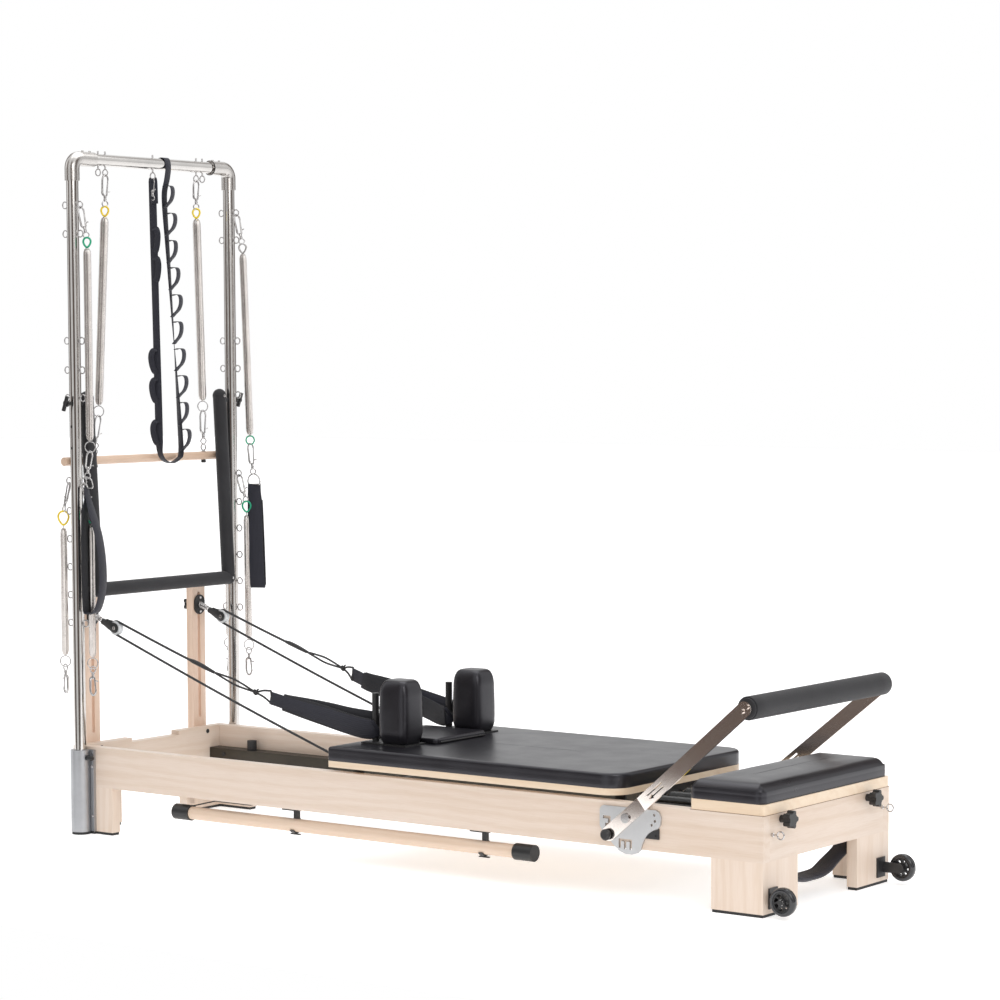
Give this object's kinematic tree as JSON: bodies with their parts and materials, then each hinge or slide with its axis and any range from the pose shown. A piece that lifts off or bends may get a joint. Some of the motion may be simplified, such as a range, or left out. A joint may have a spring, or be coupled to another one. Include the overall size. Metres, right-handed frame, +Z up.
{
  "type": "pilates reformer",
  "caption": "Wooden pilates bed with a rolling padded carriage, sprung ropes and pulleys, tilting footbar, padded end platform and a tubular spring tower.",
  "frame": {"origin": "centre of the overall bounding box's footprint, on the floor", "axes": "+X along the bed from the tower at the head towards the footbar and platform, +Y across the bed, +Z up"},
  "size_m": [2.585, 0.786, 2.048],
  "materials": {
    "maple": "clear satin lacquer over pale maple",
    "beech": "turned dowel, satin lacquer",
    "vinyl": "fine grained upholstery vinyl, satin",
    "chrome": "polished stainless tube",
    "cast": "brushed stainless castings",
    "channel": "anodised aluminium channel",
    "polished": "polished laser-cut plate",
    "spring_steel": "satin wound spring wire",
    "iron": "black powder coat",
    "track": "dark anodised track",
    "black_plastic": "black moulded plastic",
    "white_plastic": "clear white moulded sheave",
    "wheel": "black moulded spoked wheel",
    "grip": "black foam grip with a fine ribbed skin",
    "rubber": "black rubber",
    "webbing": "black woven webbing",
    "rope": "black braided rope"
  },
  "bodies": {
    "frame": {"side_rails": "maple", "end_boards": "maple", "end_legs": "maple", "foot_pads": "rubber", "inner_rails": "track", "stoppers": "rubber", "platform_board": "maple", "platform_pad": "vinyl", "pulley_posts": "maple", "tower_tubes": "chrome", "tower_elbows": "cast", "post_holders": "channel", "eye_bolts": "chrome", "gear_plates": "polished", "spring_bar": "iron", "wheel_brackets": "iron", "sling": "webbing", "pole": "beech", "pole_fittings": "black_plastic", "loop_strap": "webbing", "ropes": "rope", "carriage_springs": "spring_steel"},
    "carriage": {"carriage_board": "maple", "carriage_pad": "vinyl", "carriage_irons": "iron", "shoulder_pads": "vinyl", "shoulder_posts": "black_plastic", "hand_straps": "webbing"},
    "headrest": {"headrest": "vinyl"},
    "axle_head": {"axle_head": "iron"},
    "axle_foot": {"axle_foot": "iron"},
    "footbar": {"footbar_arms": "polished", "footbar_pad": "grip"},
    "lock_near": {"lock_near": "black_plastic"},
    "lock_far": {"lock_far": "black_plastic"},
    "push_bar": {"push_bar": "grip"},
    "push_knob_near": {"push_knob_near": "black_plastic"},
    "push_knob_far": {"push_knob_far": "black_plastic"},
    "roll_down": {"roll_bar": "beech", "long_springs": "spring_steel"},
    "side_near": {"side_spring_near": "spring_steel", "hand_loop_near": "webbing"},
    "side_far": {"side_spring_far": "spring_steel", "hand_loop_far": "webbing"},
    "leg_near_in": {"leg_spring_near_in": "spring_steel"},
    "leg_near_out": {"leg_spring_near_out": "spring_steel"},
    "leg_far_in": {"leg_spring_far_in": "spring_steel"},
    "leg_far_out": {"leg_spring_far_out": "spring_steel"},
    "riser_near": {"riser_near": "iron"},
    "riser_far": {"riser_far": "iron"},
    "sheave_near": {"sheave_near": "white_plastic"},
    "sheave_far": {"sheave_far": "white_plastic"},
    "riser_knob_near": {"riser_knob_near": "black_plastic"},
    "riser_knob_far": {"riser_knob_far": "black_plastic"},
    "castor_near": {"castor_near": "wheel"},
    "castor_far": {"castor_far": "wheel"},
    "star_near": {"star_near": "black_plastic"},
    "star_far": {"star_far": "black_plastic"},
    "clamp_near": {"clamp_near": "black_plastic"},
    "clamp_far": {"clamp_far": "black_plastic"}
  },
  "joints": [
    {"name": "carriage_slide", "type": "slide", "parent": "frame", "child": "carriage", "axis": [-1, 0, 0], "range_m": [0, 0.72], "stiffness_N_per_m": 220, "springref_m": -0.05, "deforming": ["ropes", "carriage_springs", "hand_straps"]},
    {"name": "headrest_tilt", "type": "hinge", "parent": "carriage", "child": "headrest", "pos_m": [-0.013, 0, 0.3386], "axis": [0, 1, 0], "range_deg": [0, 35]},
    {"name": "axle_head_roll", "type": "hinge", "parent": "carriage", "child": "axle_head", "pos_m": [-0.193, 0, 0.221], "axis": [0, -1, 0], "continuous": true},
    {"name": "axle_foot_roll", "type": "hinge", "parent": "carriage", "child": "axle_foot", "pos_m": [0.707, 0, 0.221], "axis": [0, -1, 0], "continuous": true},
    {"name": "footbar_lift", "type": "hinge", "parent": "frame", "child": "footbar", "pos_m": [0.788, 0, 0.224], "axis": [0, -1, 0], "range_deg": [-39, 60]},
    {"name": "lock_near_pull", "type": "slide", "parent": "footbar", "child": "lock_near", "axis": [0, -1, 0], "range_m": [0, 0.01], "stiffness_N_per_m": 300, "springref_m": -0.01},
    {"name": "lock_far_pull", "type": "slide", "parent": "footbar", "child": "lock_far", "axis": [0, 1, 0], "range_m": [0, 0.01], "stiffness_N_per_m": 300, "springref_m": -0.01},
    {"name": "push_bar_swing", "type": "hinge", "parent": "frame", "child": "push_bar", "pos_m": [-1.196, 0, 1.295], "axis": [0, -1, 0], "range_deg": [0, 100]},
    {"name": "push_knob_near_turn", "type": "hinge", "parent": "frame", "child": "push_knob_near", "pos_m": [-1.196, -0.39, 1.295], "axis": [0, 1, 0], "continuous": true},
    {"name": "push_knob_far_turn", "type": "hinge", "parent": "frame", "child": "push_knob_far", "pos_m": [-1.196, 0.39, 1.295], "axis": [0, 1, 0], "continuous": true},
    {"name": "roll_down_swing", "type": "hinge", "parent": "frame", "child": "roll_down", "pos_m": [-1.196, 0, 1.9785], "axis": [0, 1, 0], "range_deg": [0, 60]},
    {"name": "side_near_swing", "type": "hinge", "parent": "frame", "child": "side_near", "pos_m": [-1.165, -0.345, 1.8775], "axis": [0, -1, 0], "range_deg": [0, 60]},
    {"name": "side_far_swing", "type": "hinge", "parent": "frame", "child": "side_far", "pos_m": [-1.165, 0.345, 1.8775], "axis": [0, -1, 0], "range_deg": [0, 60]},
    {"name": "leg_near_in_swing", "type": "hinge", "parent": "frame", "child": "leg_near_in", "pos_m": [-1.165, -0.345, 1.0575], "axis": [0, -1, 0], "range_deg": [0, 60]},
    {"name": "leg_near_out_swing", "type": "hinge", "parent": "frame", "child": "leg_near_out", "pos_m": [-1.227, -0.345, 1.0575], "axis": [0, 1, 0], "range_deg": [0, 60]},
    {"name": "leg_far_in_swing", "type": "hinge", "parent": "frame", "child": "leg_far_in", "pos_m": [-1.165, 0.345, 1.0575], "axis": [0, -1, 0], "range_deg": [0, 60]},
    {"name": "leg_far_out_swing", "type": "hinge", "parent": "frame", "child": "leg_far_out", "pos_m": [-1.227, 0.345, 1.0575], "axis": [0, 1, 0], "range_deg": [0, 60]},
    {"name": "riser_near_lower", "type": "slide", "parent": "frame", "child": "riser_near", "axis": [0, 0, -1], "range_m": [0, 0.33]},
    {"name": "sheave_near_spin", "type": "hinge", "parent": "riser_near", "child": "sheave_near", "pos_m": [-1.143, -0.238, 0.617], "axis": [0, 1, 0], "continuous": true},
    {"name": "riser_knob_near_turn", "type": "hinge", "parent": "riser_near", "child": "riser_knob_near", "pos_m": [-1.273, -0.238, 0.65], "axis": [1, 0, 0], "continuous": true},
    {"name": "castor_near_roll", "type": "hinge", "parent": "frame", "child": "castor_near", "pos_m": [1.256, -0.311, 0.046], "axis": [0, 1, 0], "continuous": true},
    {"name": "star_near_turn", "type": "hinge", "parent": "frame", "child": "star_near", "pos_m": [1.215, -0.238, 0.247], "axis": [1, 0, 0], "continuous": true},
    {"name": "clamp_near_turn", "type": "hinge", "parent": "frame", "child": "clamp_near", "pos_m": [-1.155, -0.349, 0.232], "axis": [1, 0, 0], "continuous": true},
    {"name": "riser_far_lower", "type": "slide", "parent": "frame", "child": "riser_far", "axis": [0, 0, -1], "range_m": [0, 0.33]},
    {"name": "sheave_far_spin", "type": "hinge", "parent": "riser_far", "child": "sheave_far", "pos_m": [-1.143, 0.238, 0.617], "axis": [0, 1, 0], "continuous": true},
    {"name": "riser_knob_far_turn", "type": "hinge", "parent": "riser_far", "child": "riser_knob_far", "pos_m": [-1.273, 0.238, 0.65], "axis": [1, 0, 0], "continuous": true},
    {"name": "castor_far_roll", "type": "hinge", "parent": "frame", "child": "castor_far", "pos_m": [1.256, 0.311, 0.046], "axis": [0, 1, 0], "continuous": true},
    {"name": "star_far_turn", "type": "hinge", "parent": "frame", "child": "star_far", "pos_m": [1.215, 0.205, 0.247], "axis": [1, 0, 0], "continuous": true},
    {"name": "clamp_far_turn", "type": "hinge", "parent": "frame", "child": "clamp_far", "pos_m": [-1.155, 0.349, 0.232], "axis": [1, 0, 0], "continuous": true}
  ],
  "couplings": [
    {"joint": "axle_head_roll", "follows": "carriage_slide", "rad_per_m": 40.08},
    {"joint": "axle_foot_roll", "follows": "carriage_slide", "rad_per_m": 40.08}
  ]
}
